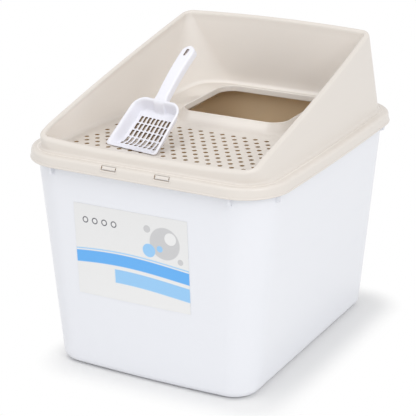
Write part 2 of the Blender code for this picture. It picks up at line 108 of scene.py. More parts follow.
def step_node(tree, value, start, end):
    """0 up to start, 1 from end, straight between; start may be the larger one."""
    return add_node(tree, "ShaderNodeMapRange", {0: value, 1: start, 2: end}, clamp=True).outputs[0]


def mix_colour(tree, share, first, second):
    """Mix from first to second by share; each colour is a socket or three numbers."""
    ends = [item if isinstance(item, bpy.types.NodeSocket) else (*item, 1.0) for item in (first, second)]
    return add_node(tree, "ShaderNodeMix", {0: share, 6: ends[0], 7: ends[1]}, data_type="RGBA").outputs[2]


def new_group(name, inputs, output):
    """An empty shader group with float inputs {name: default} and one float output."""
    group = bpy.data.node_groups.new(name, "ShaderNodeTree")
    for label, default in inputs.items():
        socket = group.interface.new_socket(label, in_out="INPUT", socket_type="NodeSocketFloat")
        socket.default_value = default
    group.interface.new_socket(output, in_out="OUTPUT", socket_type="NodeSocketFloat")
    entry = group.nodes.new("NodeGroupInput")
    leave = group.nodes.new("NodeGroupOutput")
    return group, entry.outputs, leave.inputs[0]


def use_group(tree, group, *values):
    """Place a shared group, its inputs set in order; returns its output."""
    return add_node(tree, "ShaderNodeGroup", dict(enumerate(values)), node_tree=group).outputs[0]


print("Node helpers ready")

# %% [markdown]
# ## Floor, backdrop and light
# A product on white needs a floor that reads as plain white yet keeps the soft shadow at the foot
# of the box. The floor is a wide sheet. Seen by the camera or in a reflection it fades to plain
# white away from the box, while the strip where the shadow lies stays; for every other ray it is an
# ordinary matt floor. The lamps are three large soft boxes and the world, at a level where a colour
# comes out about as it is written.

# %% Floor
white = (1.0, 1.0, 1.0, 1.0)
floor_half, floor_drop = 6.0, 0.0004
shadow_centre, shadow_half = (0.020, -0.006, 0.0), (0.135, 0.185, 0.0)
shadow_near, shadow_far = 0.030, 0.085
floor_mesh = bpy.data.meshes.new("floor")
floor_corners = np.array([[-1, -1, 0], [1, -1, 0], [1, 1, 0], [-1, 1, 0]]) * floor_half
floor_corners[:, 2] = -floor_drop
floor_mesh.from_pydata(floor_corners.tolist(), [], [(0, 1, 2, 3)])
floor = add_object("floor", floor_mesh)
floor_look = bpy.data.materials.new("floor_white")
floor_look.use_nodes = True
floor_tree = floor_look.node_tree
floor_shader = floor_tree.nodes["Principled BSDF"]
floor_shader.inputs["Base Color"].default_value = (0.84, 0.84, 0.84, 1.0)
floor_shader.inputs["Roughness"].default_value = 0.9
floor_shader.inputs["Specular IOR Level"].default_value = 0.1
floor_path = add_node(floor_tree, "ShaderNodeLightPath")
floor_seen = math_node(floor_tree, "MAXIMUM", floor_path.outputs["Is Camera Ray"],
                       floor_path.outputs["Is Glossy Ray"])
floor_off = add_node(floor_tree, "ShaderNodeTexCoord").outputs["Object"]
for operation, amount in (("SUBTRACT", shadow_centre), ("ABSOLUTE", (0.0, 0.0, 0.0)),
                          ("SUBTRACT", shadow_half), ("MAXIMUM", (0.0, 0.0, 0.0))):
    floor_off = add_node(floor_tree, "ShaderNodeVectorMath", {0: floor_off, 1: amount},
                         operation=operation).outputs[0]
floor_reach = add_node(floor_tree, "ShaderNodeVectorMath", {0: floor_off}, operation="LENGTH").outputs["Value"]
floor_level = add_node(floor_tree, "ShaderNodeMapRange", {0: floor_reach, 1: shadow_near, 2: shadow_far},
                       interpolation_type="SMOOTHSTEP").outputs[0]
floor_share = math_node(floor_tree, "MULTIPLY", floor_seen, floor_level)
floor_white = add_node(floor_tree, "ShaderNodeEmission", {"Color": white, "Strength": 1.0})
floor_mix = add_node(floor_tree, "ShaderNodeMixShader",
                     {0: floor_share, 1: floor_shader.outputs[0], 2: floor_white.outputs[0]})
floor_tree.links.new(floor_mix.outputs[0], floor_tree.nodes["Material Output"].inputs["Surface"])
floor_mesh.materials.append(floor_look)
print("Floor", 2 * floor_half, "m wide")

# %% World and lamps
world = bpy.data.worlds.new("studio")
bpy.context.scene.world = world
world.use_nodes = True
world_tree = world.node_tree
world_light = world_tree.nodes["Background"]
world_light.inputs["Color"].default_value = white
world_light.inputs["Strength"].default_value = 0.865
world_white = add_node(world_tree, "ShaderNodeBackground", {"Color": white, "Strength": 1.0})
world_path = add_node(world_tree, "ShaderNodeLightPath")
world_mix = add_node(world_tree, "ShaderNodeMixShader",
                     {0: world_path.outputs["Is Camera Ray"], 1: world_light.outputs[0],
                      2: world_white.outputs[0]})
world_tree.links.new(world_mix.outputs[0], world_tree.nodes["World Output"].inputs["Surface"])


def soft_box(name, place, target, size, power):
    """A square area lamp that looks from its place at a target."""
    lamp = bpy.data.lights.new(name, "AREA")
    lamp.shape = "SQUARE"
    lamp.size = size
    lamp.energy = power
    made = add_object(name, lamp)
    away = np.array(place) - np.array(target)
    back = away / np.linalg.norm(away)
    side = np.cross((0.0, 0.0, 1.0), back)
    side = side / np.linalg.norm(side)
    made.matrix_world = facing(place, side, np.cross(back, side), back)


soft_box("key_lamp", (2.5, -1.6, 2.1), (0.0, 0.0, 0.25), 1.2, 20.0)
soft_box("top_lamp", (-0.4, -0.9, 3.0), (0.0, 0.0, 0.3), 1.4, 14.0)
soft_box("front_lamp", (0.9, -3.0, 0.45), (0.0, 0.0, 0.2), 1.5, 3.0)

# %% [markdown]
# ## Rounded outlines
# Every moulding here follows one idea: a rounded rectangle whose sides may bow outwards a little,
# as thin plastic walls do. The outline is computed as whole arrays. It always has the same number
# of points, starting on the front side and running anticlockwise, so two outlines can be joined
# point by point.

# %% Outline helper
side_steps = 26
corner_steps = 14


def outline(half_width, front, rear, corner, side_bow=0.0, front_bow=0.0, rear_bow=0.0, rear_corner=None):
    """Points of a rounded rectangle: straight runs, then arcs centre + radius * (cos a, sin a).

    A side bows out by bow * (1 - t * t), where t runs from -1 to 1 along it.
    """
    back = corner if rear_corner is None else rear_corner
    radius = np.array([corner, back, back, corner])[:, None, None]
    centres = np.array([[half_width - corner, corner - front], [half_width - back, rear - back],
                        [back - half_width, rear - back], [corner - half_width, corner - front]])
    first_angle = np.array([-1.0, 0.0, 1.0, 2.0])[:, None] * np.pi / 2
    angle = first_angle + np.linspace(0.0, np.pi / 2, corner_steps + 1)
    arcs = centres[:, None] + radius * np.stack([np.cos(angle), np.sin(angle)], axis=2)
    before = np.roll(arcs[:, -1], 1, axis=0)
    share = (np.arange(1, side_steps) / side_steps)[None, :, None]
    runs = before[:, None] + share * (arcs[:, 0] - before)[:, None]
    points = np.concatenate([runs, arcs], axis=1).reshape(-1, 2)
    across = points[:, 0] / half_width
    along = np.where(points[:, 1] < 0, points[:, 1] / front, points[:, 1] / rear)
    end_bow = np.where(along < 0, front_bow, rear_bow)
    return np.stack([points[:, 0] + side_bow * across * (1 - along ** 2),
                     points[:, 1] + end_bow * along * (1 - across ** 2)], axis=1)


def at_height(loop, height):
    """Lift a flat outline to a height, one number or one for each point."""
    return np.column_stack([loop, np.broadcast_to(height, len(loop))])


def ramp(value, start, end):
    """Smooth step: 0 before start, 1 after end, 3t^2 - 2t^3 between."""
    share = np.clip((value - start) / (end - start), 0.0, 1.0)
    return share * share * (3 - 2 * share)


def blended(first, second, steps):
    """Loops evenly spaced between two loops, without the ends."""
    share = (np.arange(1, steps) / steps)[:, None, None]
    return list(first + share * (second - first))


print("An outline has", len(outline(1.0, 1.0, 1.0, 0.1)), "points")

# %% [markdown]
# ## From loops to a mesh
# A stack of loops becomes a skin: point i of one loop, point i + 1, and the two above them make a
# face. The indices of all faces are worked out at once with arange. The stack either ends in two
# flat caps, as the tub does, or joins its last loop to its first, as the hollow lid does. Booleans
# cut the holes, and a face attribute remembers which faces are the walls of a hole.

# %% Mesh helpers


def grid_faces(rows, columns, wrap_rows=False, wrap_columns=True):
    """Indices of the quads of a grid whose point (r, c) has the index r * columns + c."""
    row = np.arange(rows if wrap_rows else rows - 1)[:, None]
    column = np.arange(columns if wrap_columns else columns - 1)[None, :]
    up = (row + 1) % rows
    after = (column + 1) % columns
    corners = [row * columns + column, row * columns + after, up * columns + after, up * columns + column]
    return np.stack(np.broadcast_arrays(*corners), axis=2).reshape(-1, 4)


sharp_angle = np.radians(38.0)


def new_object(name, points, faces):
    """A mesh object from an array of points and a list of faces, smooth apart from sharp edges."""
    mesh = bpy.data.meshes.new(name)
    mesh.from_pydata(np.asarray(points, float).reshape(-1, 3).tolist(), [], faces)
    mesh.validate()
    mesh.shade_smooth()
    mesh.set_sharp_from_angle(angle=sharp_angle)
    return add_object(name, mesh)


def skin(name, loops, closed):
    """Loops of equal length joined into a closed ring of loops, or into a tube with flat caps."""
    stack = np.array(loops)
    rows, columns = stack.shape[:2]
    faces = grid_faces(rows, columns, wrap_rows=closed).tolist()
    if not closed:
        faces.append(list(range(columns))[::-1])
        faces.append(list(range((rows - 1) * columns, rows * columns)))
    return new_object(name, stack, faces)


def two_sided(name, front, back):
    """A sheet with thickness from two grids (row, column, 3): both faces and the strip round the edge."""
    rows, columns = front.shape[:2]
    sheet_faces = grid_faces(rows, columns, wrap_columns=False)
    index = np.arange(rows * columns).reshape(rows, columns)
    edge = np.concatenate([index[0, :-1], index[:-1, -1], index[-1, :0:-1], index[:0:-1, 0]])
    after, behind = np.roll(edge, -1), rows * columns
    strip = np.column_stack([after, edge, edge + behind, after + behind])
    return new_object(name, np.stack([front, back]),
                      np.concatenate([sheet_faces, sheet_faces[:, ::-1] + behind, strip]).tolist())


def prisms(name, rings):
    """Many closed prisms in one mesh from an array (prism, ring, side, 3)."""
    count, levels, sides = rings.shape[:3]
    one = grid_faces(levels, sides)
    start = np.arange(count)[:, None, None] * levels * sides
    walls = (one[None] + start).reshape(-1, 4).tolist()
    low = (np.arange(sides)[None, ::-1] + start[:, 0]).tolist()
    high = (np.arange(sides)[None, :] + (levels - 1) * sides + start[:, 0]).tolist()
    return new_object(name, rings, walls + low + high)


def cut(target, cutter):
    """Take the cutter away from the target and keep the result as plain mesh."""
    step = target.modifiers.new("cut", "BOOLEAN")
    step.operation = "DIFFERENCE"
    step.solver = "EXACT"
    step.object = cutter
    graph = bpy.context.evaluated_depsgraph_get()
    result = bpy.data.meshes.new_from_object(target.evaluated_get(graph))
    target.modifiers.clear()
    target.data = result
    bpy.data.objects.remove(cutter, do_unlink=True)
    result.shade_smooth()
    result.set_sharp_from_angle(angle=sharp_angle)


def vectors(items, name):
    """One vector property of all the items of a mesh, as an array with three columns."""
    values = np.zeros(3 * len(items))
    items.foreach_get(name, values)
    return values.reshape(-1, 3)


def mark_cuts(piece, low, high, upright=2, limit=0.35):
    """Face attribute "cut_wall" for painted shade: 1 on faces in a box whose normal has a small share of one axis.
    """
    mesh = piece.data
    centre, normal = vectors(mesh.polygons, "center"), vectors(mesh.polygons, "normal")
    found = np.all((centre > low) & (centre < high), axis=1) & (np.abs(normal[:, upright]) < limit)
    layer = mesh.attributes.get("cut_wall") or mesh.attributes.new("cut_wall", "FLOAT", "FACE")
    before = np.zeros(len(mesh.polygons))
    layer.data.foreach_get("value", before)
    layer.data.foreach_set("value", np.maximum(before, found))
    return int(found.sum())


print("Mesh helpers ready")

# %% [markdown]
# ## Three surface effects
# The plastics share a fine moulding grain, faint handling marks and a little settled dust. Each is
# a group that puts out one value, so that every material can take it with its own strength.

# %% Moulding grain
grain, grain_in, grain_out = new_group("moulding_grain", {"Fine scale": 900.0, "Wave scale": 14.0}, "Height")
grain_place = add_node(grain, "ShaderNodeTexCoord").outputs["Object"]
grain_fine = add_node(grain, "ShaderNodeTexNoise",
                      {"Vector": grain_place, "Scale": grain_in[0], "Detail": 2.0, "Roughness": 0.5})
grain_wave = add_node(grain, "ShaderNodeTexNoise",
                      {"Vector": grain_place, "Scale": grain_in[1], "Detail": 1.0, "Roughness": 0.4})
grain_sum = math_node(grain, "MULTIPLY_ADD", grain_wave.outputs[0], 3.0, grain_fine.outputs[0])
grain.links.new(grain_sum, grain_out)
print("Group", grain.name)

# %% Handling marks
marks, marks_in, marks_out = new_group("handling_marks", {"Scale": 9.0, "Stretch": 6.0}, "Mask")
marks_long = add_node(marks, "ShaderNodeCombineXYZ", {0: 1.0, 1: 1.0, 2: marks_in[1]}).outputs[0]
marks_point = add_node(marks, "ShaderNodeVectorMath",
                       {0: add_node(marks, "ShaderNodeTexCoord").outputs["Object"], 1: marks_long},
                       operation="MULTIPLY").outputs[0]
marks_noise = add_node(marks, "ShaderNodeTexNoise",
                       {"Vector": marks_point, "Scale": marks_in[0], "Detail": 6.0, "Roughness": 0.62})
marks.links.new(step_node(marks, marks_noise.outputs[0], 0.48, 0.74), marks_out)
print("Group", marks.name)

# %% Settled dust
dust, dust_in, dust_out = new_group("settled_dust", {"Scale": 40.0, "Amount": 1.0}, "Mask")
dust_up = add_node(dust, "ShaderNodeSeparateXYZ",
                   {0: add_node(dust, "ShaderNodeNewGeometry").outputs["Normal"]}).outputs[2]
dust_noise = add_node(dust, "ShaderNodeTexNoise",
                      {"Vector": add_node(dust, "ShaderNodeTexCoord").outputs["Object"],
                       "Scale": dust_in[0], "Detail": 5.0, "Roughness": 0.7}).outputs[0]
dust_patch = math_node(dust, "MULTIPLY", step_node(dust, dust_up, 0.55, 1.0), dust_noise)
dust.links.new(math_node(dust, "MULTIPLY", dust_patch, dust_in[1]), dust_out)
print("Group", dust.name)

# %% [markdown]
# ## The plastics
# Polypropylene from a polished mould is neither matt nor mirror-like: its roughness is about a
# third, with a slow unevenness, and a thin glossy skin brightens the rounded edges. The colours are
# set on a Mix node that lets the dust darken the level faces a touch. The walls of holes and slots
# see hardly any light; a face attribute marks them and mixes in a deep brown as painted shade. The
# tub is cool white outside; its inside gets a painted warm shade.

# %% Plastic materials


def plastic(name, colour, dusty, hollow_shade, roughness, bump):
    """Colour mixed towards a dusty and a painted cut-wall shade, roughness raised by the marks, and a fine bump.
    """
    made = bpy.data.materials.new(name)
    made.use_nodes = True
    tree = made.node_tree
    shader = tree.nodes["Principled BSDF"]
    clean = mix_colour(tree, use_group(tree, dust), colour, dusty)
    hollow_shade_mask = add_node(tree, "ShaderNodeAttribute", attribute_name="cut_wall").outputs["Fac"]
    rough = math_node(tree, "MULTIPLY_ADD", use_group(tree, marks), 0.10, roughness)
    bumped = add_node(tree, "ShaderNodeBump",
                      {"Strength": bump, "Distance": 0.0001, "Height": use_group(tree, grain)})
    # Painted shade: faces marked as cut walls take the dark shade colour instead of the plastic's own.
    tree.links.new(mix_colour(tree, hollow_shade_mask, clean, hollow_shade), shader.inputs["Base Color"])
    tree.links.new(rough, shader.inputs["Roughness"])
    tree.links.new(bumped.outputs[0], shader.inputs["Normal"])
    shader.inputs["IOR"].default_value = 1.49
    shader.inputs["Coat Weight"].default_value = 0.25
    shader.inputs["Coat Roughness"].default_value = 0.14
    return made


def painted_light_tint(material, attribute, shade):
    """Mix a painted light or shade into a material's colour, by a point attribute from 0 to 1."""
    tree = material.node_tree
    target = tree.nodes["Principled BSDF"].inputs["Base Color"]
    share = add_node(tree, "ShaderNodeAttribute", attribute_name=attribute).outputs["Fac"]
    tree.links.new(mix_colour(tree, share, target.links[0].from_socket, shade), target)


# Each plastic's third colour is the painted shade on the walls of holes and slots.
beige = plastic("beige_polypropylene", colour=(0.748, 0.700, 0.650), dusty=(0.69, 0.635, 0.58),
                hollow_shade=(0.36, 0.225, 0.095), roughness=0.36, bump=0.10)
scoop_white = plastic("scoop_polypropylene", colour=(0.860, 0.862, 0.930), dusty=(0.80, 0.80, 0.86),
                      hollow_shade=(0.20, 0.125, 0.07), roughness=0.30, bump=0.08)
tub_white = plastic("tub_polypropylene", colour=(0.830, 0.843, 0.886), dusty=(0.78, 0.79, 0.83),
                    hollow_shade=(0.26, 0.16, 0.085), roughness=0.34, bump=0.08)
print("Materials", beige.name, scoop_white.name, tub_white.name)

# %% [markdown]
# The inside of the tub only gets light that has been through the beige lid, and it reads as a warm
# tan. That is painted light and shade: the tub's points carry an attribute, 1 on the inner wall and
# 0 outside, and it mixes the tan into the white.

# %% Painted warm light inside the tub
# Painted light and shade: a tan on the inner wall for the lid-filtered light inside.
painted_light_tint(tub_white, "inside", (0.99, 0.79, 0.54))
print("Tub material with an inside shade")

# %% [markdown]
# ## The tub
# The tub is drawn from a steel block, so it must taper to leave the mould: every wall leans out by
# a few degrees. Two outlines give the taper, one at the floor and one at the rim, and every height
# in between is a mix of the two. The foot is a quarter round, the top turns out into a flat flange
# on which the lid rests. I stack the outer loops upwards and the inner loops back down.

# %% Tub sizes
lid_half, lid_end, lid_corner, lid_bow = 0.205, 0.2375, 0.067, 0.005
shoulder = 0.3325
lid_wall = 0.0025
bead = 0.0009
base_half, base_end, base_corner, base_bow = 0.1626, 0.2111, 0.037, 0.005
mouth_half, mouth_end, mouth_corner, mouth_bow = 0.1939, 0.2264, 0.055, 0.004
seat_gap, skirt_gap = 0.0003, 0.0012
tub_rim = shoulder - lid_wall - seat_gap
tub_flange = 2 * bead + lid_wall + skirt_gap
tub_wall, tub_edge, foot_round = 0.0026, 0.0006, 0.0136


def tub_loop(share, inset):
    """Outline between the base (share 0) and the rim (share 1), moved inwards by inset."""
    base = outline(base_half - inset, base_end - inset, base_end - inset, max(base_corner - inset, tub_wall),
                   front_bow=base_bow, rear_bow=base_bow)
    mouth = outline(mouth_half - inset, mouth_end - inset, mouth_end - inset, mouth_corner - inset, mouth_bow)
    return base + share * (mouth - base)


def lid_loop(inset):
    """Outer edge of the lid, moved inwards by inset."""
    return outline(lid_half - inset, lid_end - inset, lid_end - inset, lid_corner - inset, lid_bow)


def quarter_rings(loop_at, radius, wall, steps):
    """Rings of a quarter round at the foot: inset r(1 - sin a), height r(1 - cos a), above a wall."""
    rings = []
    for angle in np.linspace(0.0, np.pi / 2, steps):
        height = wall + radius * (1 - np.cos(angle))
        rings.append(at_height(loop_at(height / tub_rim, wall + radius * (1 - np.sin(angle))), height))
    return rings


print("Tub rim at", round(tub_rim, 4), "m, flange inset", round(tub_flange, 4), "m")

# %% Tub shell
flange_low, flange_fillet = tub_rim - 0.003, 0.002
wall_steps = 10
fillet_low = flange_low - flange_fillet
outer_foot = quarter_rings(tub_loop, foot_round, 0.0, 12)
wall_top = at_height(tub_loop(fillet_low / tub_rim, 0.0), fillet_low)
tub_loops = outer_foot + blended(outer_foot[-1], wall_top, wall_steps) + [wall_top]
for angle in np.linspace(0.0, np.pi / 2, 6)[1:]:
    tub_loops.append(at_height(tub_loop(flange_low / tub_rim, -flange_fillet * (1 - np.cos(angle))),
                               flange_low - flange_fillet * (1 - np.sin(angle))))
for inset, height in ((0.0004, 0.0), (0.0, 0.0004), (0.0, 0.0009), (0.0025, 0.0030), (0.0031, 0.0030)):
    tub_loops.append(at_height(lid_loop(tub_flange + inset), flange_low + height))
for inset, drop in ((0.0, 0.0), (tub_wall - tub_edge, 0.0), (tub_wall, tub_edge)):
    tub_loops.append(at_height(tub_loop(1.0, inset), tub_rim - drop))
inner_foot = quarter_rings(tub_loop, foot_round - tub_wall, tub_wall, 10)[::-1]
inner_start = len(tub_loops)
tub_loops += blended(tub_loops[-1], inner_foot[0], wall_steps) + inner_foot
tub = skin("tub_shell", tub_loops, closed=False)
# The points of the inner loops get the painted warm light of the inside.
inside = np.arange(len(tub.data.vertices)) >= (inner_start - 1) * len(tub_loops[0])
tub.data.attributes.new("inside", "FLOAT", "POINT").data.foreach_set("value", inside.astype(float))
print("Tub:", len(tub.data.vertices), "points")

# %% [markdown]
# ## Gussets under the rim
# Eight small triangular ribs stiffen the corner between wall and flange; two of them show as short
# vertical shadows under the skirt. A rib is a flat prism, so one array holds its outline and the
# eight places turn and move it.

# %% Gussets
rib_half, rib_x, rib_y = 0.0019, 0.1444, 0.181
rib_profile = np.array([[-0.0014, 0.0], [0.0058, 0.0], [0.0050, -0.0235], [-0.0020, -0.0262]])
rib_places = np.array([[x, y * mouth_end, 0, y] for x in (-rib_x, rib_x) for y in (-1, 1)]
                      + [[x * mouth_half, y, x, 0] for x in (-1, 1) for y in (-rib_y, rib_y)], float)
outward = np.column_stack([rib_places[:, 2:], np.zeros(8)])
sideways = np.cross(outward, (0.0, 0.0, 1.0)) * rib_half
seat = np.column_stack([rib_places[:, :2], np.full(8, tub_rim - 0.0015)])
rib_points = seat[:, None] + rib_profile[None, :, :1] * outward[:, None] \
    + rib_profile[None, :, 1:] * np.array([0.0, 0.0, 1.0])
rib_rings = np.stack([rib_points - sideways[:, None], rib_points + sideways[:, None]], axis=1)
gussets = prisms("tub_gussets", rib_rings)
print("Gussets:", len(rib_places), "ribs")

# %% [markdown]
# ## The lid
# The lid is one moulding that folds over itself: up the skirt, over the shoulder, up the outer skin
# of the splash wall, over the rounded rim, down the inner skin, across the deck, over the collar of
# the opening, and all the way back on the underside. As the loops go once round the wall of the
# plastic, the last loop joins the first. The splash wall is a ruled surface: every point of its foot
# is joined by a straight line to its partner on the slanted rim, and a loop at any height cuts these
# lines. The rim rises evenly from front to rear, apart from a small dip along the front.

# %% Lid outlines
rim_round = 0.0043
rim_front, rim_rear = 0.2175, 0.2050
rim_front_half, rim_rear_half = 0.177, 0.1639
rim_corner, rim_side_bow, rim_rear_bow = 0.0165, 0.0051, 0.0085
rim_low, rim_high = 0.3565, 0.453
dip_depth, dip_fall, dip_half = 0.01065, 0.51, 0.1605
dip_start, dip_end = -0.2190, -0.1850
foot_half, foot_end, foot_corner, foot_flare = 0.185, 0.2185, 0.040, 0.0040
deck, deck_half, deck_front, deck_rear = 0.3194, 0.184, 0.2085, 0.2125
deck_corner, deck_rear_corner, deck_fillet = 0.028, 0.085, 0.006
narrowing, narrowing_start = 0.033, -0.070
ledge_start, ledge_end, ledge_drop = 0.130, 0.196, 0.001
opening_half, opening_end, opening_corner, opening_y = 0.089, 0.0775, 0.026, 0.1215
collar_top, collar_wall, collar_lean = 0.3360, 0.0024, 0.010


def rim_height(x, y):
    """Line from rim_low at the front to rim_high at the rear, less a dip along the front wall.

    The dip is depth * (1 - fall * |x / half|^3), so the front edge sags between its corners.
    """
    slant = rim_low + (rim_high - rim_low) * (y + rim_front) / (rim_front + rim_rear)
    dip = dip_depth * (1 - dip_fall * np.minimum(np.abs(x) / dip_half, 1.2) ** 3)
    return slant - dip * (1 - ramp(y, dip_start, dip_end))


def rim_loop(inset):
    """Rim seen from above: x shrinks evenly from rim_front_half at the front to rim_rear_half at the rear."""
    front_half, rear_half = rim_front_half - inset, rim_rear_half - inset
    loop = outline(front_half, rim_front - inset, rim_rear - inset, rim_corner - inset, rim_side_bow,
                   rear_bow=rim_rear_bow)
    share = (loop[:, 1] + rim_front) / (rim_front + rim_rear)
    return np.column_stack([loop[:, 0] * (1 + share * (rear_half / front_half - 1)), loop[:, 1]])


def splash_loop(inset, height=None, drop=0.0):
    """Skin of the splash wall: foot + t (rim - foot), t chosen to reach a height or a drop below the rim."""
    foot = outline(foot_half - inset, foot_end - inset, foot_end - inset, foot_corner - inset, lid_bow)
    rim = rim_loop(inset)
    top = rim_height(rim[:, 0], rim[:, 1])
    wanted = top - drop if height is None else np.broadcast_to(height, len(foot))
    return at_height(foot + ((wanted - shoulder) / (top - shoulder))[:, None] * (rim - foot), wanted)


def deck_loop(inset):
    """Edge of the deck: wide round corners at the rear, and x shrinks evenly from narrowing_start on."""
    loop = outline(deck_half - inset, deck_front - inset, deck_rear - inset, deck_corner - inset, lid_bow / 2,
                   rear_corner=deck_rear_corner - inset)
    share = np.clip((loop[:, 1] - narrowing_start) / (deck_rear - narrowing_start), 0.0, None)
    return np.column_stack([loop[:, 0] * (1 - share * narrowing / deck_half), loop[:, 1]])


def deck_level(y):
    """The deck is flat at the front and rises beside the opening to a ledge just below the collar."""
    return deck + (collar_top - ledge_drop - deck) * ramp(y, ledge_start, ledge_end)


def on_deck(loop, lift=0.0):
    """Bring an outline to the level of the deck, or a little above or below it."""
    return at_height(loop[:, :2], deck_level(loop[:, 1]) + lift)


def collar_loop(outset, height):
    """Outline round the opening, moved outwards."""
    loop = outline(opening_half + outset, opening_end + outset, opening_end + outset, opening_corner + outset)
    return at_height(loop + np.array([0.0, opening_y]), height)


def collar_foot(outset):
    """Foot of the leaning collar; the lean shrinks where the deck comes up to meet the collar."""
    far = on_deck(collar_loop(outset + collar_lean, 0.0))
    near = collar_loop(outset, collar_top)
    share = ((collar_top - far[:, 2]) / (collar_top - deck))[:, None]
    return at_height((near + share * (far - near))[:, :2], far[:, 2])


print("Rim heights", [round(float(rim_height(0.0, y)), 4) for y in (-rim_front, rim_rear)])

# %% Lid, outside and inside
skirt_height, straight_height, shoulder_round, bead_half = 0.0166, 0.0136, 0.005, 0.0014
lid_loops = [at_height(lid_loop(bead), shoulder - skirt_height)]
for angle in np.linspace(-np.pi / 2, np.pi / 2, 9):
    lid_loops.append(at_height(lid_loop(bead * (1 - np.cos(angle))),
                               shoulder - skirt_height + bead_half * (1 + np.sin(angle))))
skirt_foot = at_height(lid_loop(bead), shoulder - straight_height)
shoulder_arc = [at_height(lid_loop(2 * bead + shoulder_round * (1 - np.cos(angle))),
                          shoulder - shoulder_round * (1 - np.sin(angle)))
                for angle in np.linspace(0.0, np.pi / 2, 10)]
lid_loops += [skirt_foot] + blended(skirt_foot, shoulder_arc[0], 3) + shoulder_arc
crease = [at_height(splash_loop(-foot_flare - out, height=shoulder)[:, :2], shoulder - depth)
          for out, depth in ((0.0016, 0.0), (0.0008, 0.0007), (0.0004, 0.0007))]
fillet_arc = [splash_loop(-foot_flare * (1 - np.sin(angle)), height=shoulder + foot_flare * (1 - np.cos(angle)))
              for angle in np.linspace(0.0, np.pi / 2, 8)]
lid_loops += blended(shoulder_arc[-1], crease[0], 3) + crease + fillet_arc
rim_arc = [splash_loop(rim_round * (1 - np.cos(angle)), drop=rim_round * (1 - np.sin(angle)))
           for angle in np.linspace(0.0, np.pi, 13)]
lid_loops += blended(fillet_arc[-1], rim_arc[0], 10) + rim_arc
deck_arc = [on_deck(deck_loop(deck_fillet * (1 - np.sin(angle))), deck_fillet * (1 - np.cos(angle)))
            for angle in np.linspace(np.pi / 2, 0.0, 8)]
lid_loops += blended(rim_arc[-1], deck_arc[0], 10) + deck_arc
near_edge = on_deck(deck_loop(deck_fillet + 0.0012))
foot_edge = collar_foot(collar_wall + 0.0035)
lid_loops += [near_edge] + [on_deck(ring) for ring in blended(near_edge, foot_edge, 9)] + [foot_edge]
face_low = collar_foot(collar_wall)
for share in (0.3, 0.65):
    lid_loops.append(foot_edge + share * (face_low - foot_edge) + np.array([0.0, 0.0, 0.0012 * share ** 2]))
collar_arc = [collar_loop(collar_wall / 2 * (1 + np.cos(angle)),
                          collar_top - collar_wall / 2 * (1 - np.sin(angle)))
              for angle in np.linspace(0.0, np.pi, 9)]
face_start = face_low + 0.12 * (collar_arc[0] - face_low)
lid_loops += [face_start] + blended(face_start, collar_arc[0], 4) + collar_arc
print("Loops on the seen side:", len(lid_loops))

# %% Lid, underside
flange_foot, flange_edge, least_gap = collar_top - 0.0095, 0.0006, 0.0008
lid_loops += [collar_loop(0.0, flange_foot + flange_edge), collar_loop(flange_edge, flange_foot),
              collar_loop(collar_wall, flange_foot)]
under = collar_foot(collar_wall)
under[:, 2] -= lid_wall
inner_top = at_height(collar_loop(collar_wall, 0.0)[:, :2], np.maximum(under[:, 2], flange_foot + least_gap))
tray = on_deck(deck_loop(-lid_wall))
lid_loops += [inner_top, under, on_deck(deck_loop(0.0), -lid_wall), tray]
roof = shoulder - lid_wall
apex = roof + (rim_height(tray[:, 0], tray[:, 1]) - 0.016 - roof) * ramp(tray[:, 1], -0.090, 0.060)
inner_share = ((apex - deck) / (rim_arc[-1][:, 2] - deck))[:, None]
inner_back = tray[:, :2]
inner_back = inner_back + inner_share * (splash_loop(2 * rim_round - lid_wall, drop=rim_round)[:, :2] - inner_back)
outer_back = splash_loop(lid_wall, height=apex)
inwards = inner_back - outer_back[:, :2]
widened = np.maximum(1.0, least_gap / np.linalg.norm(inwards, axis=1))[:, None]
inner_back = outer_back[:, :2] + inwards * widened
lid_loops += [at_height(inner_back, apex), outer_back, splash_loop(lid_wall, height=roof + least_gap / 2),
              at_height(splash_loop(lid_wall - least_gap, height=roof)[:, :2], roof)]
skirt_inset, inner_round = 2 * bead + lid_wall, shoulder_round / 2
lid_loops += [at_height(lid_loop(skirt_inset + inner_round), roof),
              at_height(lid_loop(skirt_inset), roof - inner_round),
              at_height(lid_loop(lid_wall), shoulder - skirt_height)]
lid = skin("lid_moulding", lid_loops, closed=True)
print("Lid:", len(lid_loops), "loops,", len(lid.data.vertices), "points")

# %% [markdown]
# ## Drain holes
# The front of the deck is a sieve, so that litter falls back into the tub. The holes lie in
# staggered rows. Their centres come from two index grids, the surplus ones are masked out, and one
# mesh holds all the cutters: a little cone at the top of each breaks the edge, as in the moulding.

# %% Drain holes
hole_step, row_step, first_row = 0.0187, 0.0144, 0.004
row, column = np.meshgrid(np.arange(15), np.arange(-9, 11), indexing="ij")
hole_x = column * hole_step - np.where(row % 2 == 0, hole_step / 2, 0.0)
hole_y = first_row - row * row_step
kept = np.abs(hole_x) < 0.1732 - 0.10 * np.clip(hole_y + 0.12, 0.0, None)
holes = np.column_stack([hole_x[kept], hole_y[kept]])
turn = np.arange(16) * 2 * np.pi / 16
hole_radius = np.array([0.0037, 0.0037, 0.0039, 0.0039])
hole_level = np.array([-0.006, -0.0004, 0.0, 0.003])
hole_ring = np.stack(np.broadcast_arrays(hole_radius[:, None] * np.cos(turn), hole_radius[:, None] * np.sin(turn),
                                         hole_level[:, None]), axis=2)
hole_rings = hole_ring[None] + np.column_stack([holes, np.full(len(holes), deck)])[:, None, None]
cut(lid, prisms("drain_cutters", hole_rings))
# The walls of the drain holes are marked for the painted shade.
hole_walls = mark_cuts(lid, (-0.1755, -0.2065, deck - 0.004), (0.1755, 0.012, deck))
print("Drain holes:", len(holes), "with", hole_walls, "dark faces")
